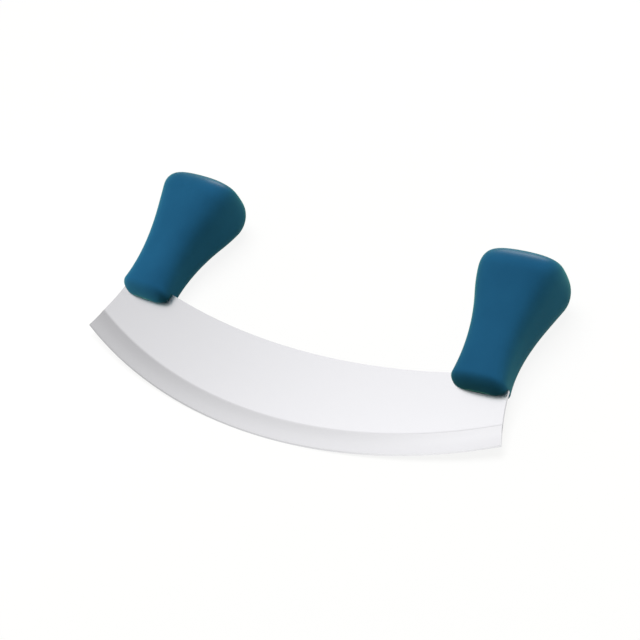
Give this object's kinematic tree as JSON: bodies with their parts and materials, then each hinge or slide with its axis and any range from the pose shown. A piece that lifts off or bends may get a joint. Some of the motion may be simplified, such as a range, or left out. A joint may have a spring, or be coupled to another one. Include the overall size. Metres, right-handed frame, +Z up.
{
  "type": "mezzaluna",
  "caption": "Rocking chopper with a hollow ground crescent steel blade and two flared upright grips, lying on its back.",
  "frame": {"origin": "centre of the underside of the whole object's box as it lies on its back, on the worktop", "axes": "+X along the blade from the left tip to the right tip, +Y from the cutting edge towards the crowns of the grips, +Z up, away from the worktop"},
  "size_m": [0.23, 0.1164, 0.039],
  "materials": {
    "blade_steel": "fine satin, ground along the blade, with a hollow ground bevel",
    "core_plastic": "plain rigid moulding, hidden",
    "grip_skin": "satin, soft to the touch, petrol blue"
  },
  "bodies": {
    "root": {"blade": "blade_steel", "left_core": "core_plastic", "right_core": "core_plastic", "left_grip": "grip_skin", "right_grip": "grip_skin"}
  },
  "joints": []
}
